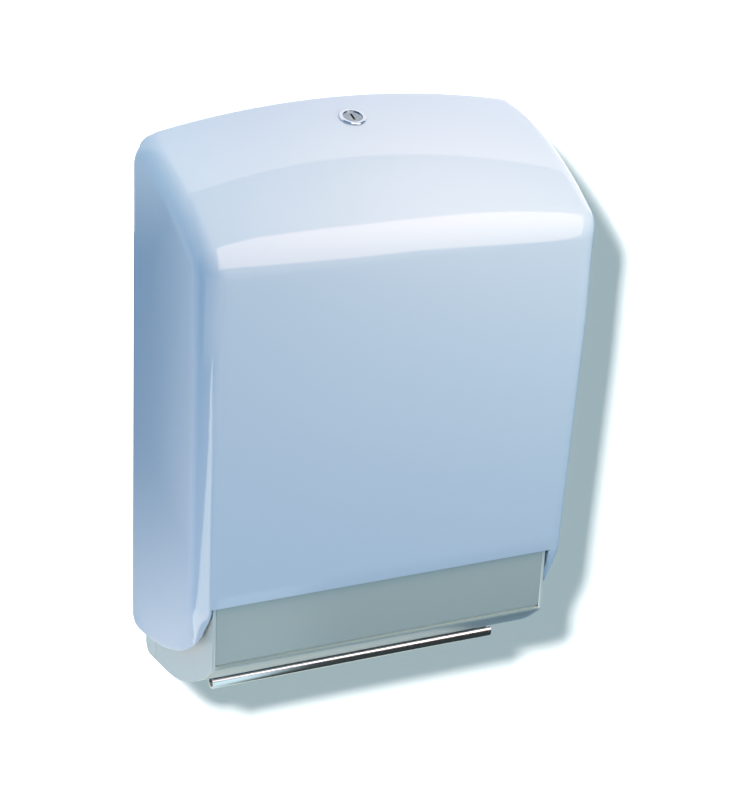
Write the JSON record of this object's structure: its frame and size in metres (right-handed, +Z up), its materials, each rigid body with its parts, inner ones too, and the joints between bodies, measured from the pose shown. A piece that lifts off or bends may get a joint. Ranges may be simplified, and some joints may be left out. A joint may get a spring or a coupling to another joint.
{
  "type": "paper towel dispenser",
  "caption": "Wall-mounted folded paper towel dispenser: white hinged hood with a cam lock, grey front panel, curved base and exit slot with a polished lip.",
  "frame": {"origin": "middle of the wall screw pattern, on the wall face of the back plate", "axes": "+X to the right seen from the front, -Y away from the wall, +Z up"},
  "size_m": [0.2962, 0.1307, 0.4142],
  "materials": {
    "cover_white": "glossy white moulded plastic",
    "shell_light": "satin light grey moulded plastic",
    "panel_grey": "satin mid grey moulded plastic",
    "guide_plastic": "satin white moulded plastic",
    "lip_metal": "polished stainless sheet",
    "plated_steel": "zinc plated",
    "lock_chrome": "polished chrome plate",
    "wafer_brass": "stamped brass"
  },
  "bodies": {
    "housing": {"back_plate": "shell_light", "lower_tray": "shell_light", "front_panel": "panel_grey", "exit_lip": "lip_metal", "towel_guide_left": "guide_plastic", "towel_guide_right": "guide_plastic", "hinge_pin_left": "plated_steel", "hinge_pin_right": "plated_steel", "lock_strike": "plated_steel", "strike_screws": "plated_steel", "tray_screws": "plated_steel", "panel_screws": "plated_steel", "guide_screws": "plated_steel", "lip_rivets": "lip_metal"},
    "cover": {"front_cover": "cover_white", "lock_barrel": "lock_chrome", "lock_washer": "plated_steel", "lock_nut": "plated_steel"},
    "lock_core": {"lock_plug": "lock_chrome", "lock_wafers": "wafer_brass", "lock_cam": "plated_steel", "cam_washer": "plated_steel", "cam_screw": "plated_steel"}
  },
  "joints": [
    {"name": "cover_hinge", "type": "hinge", "parent": "housing", "child": "cover", "pos_m": [0, -0.0125, -0.192], "axis": [1, 0, 0], "range_deg": [0, 90]},
    {"name": "lock_turn", "type": "hinge", "parent": "cover", "child": "lock_core", "pos_m": [0, -0.03039, 0.17758], "axis": [0, 0.2753, -0.9614], "range_deg": [0, 90]}
  ]
}
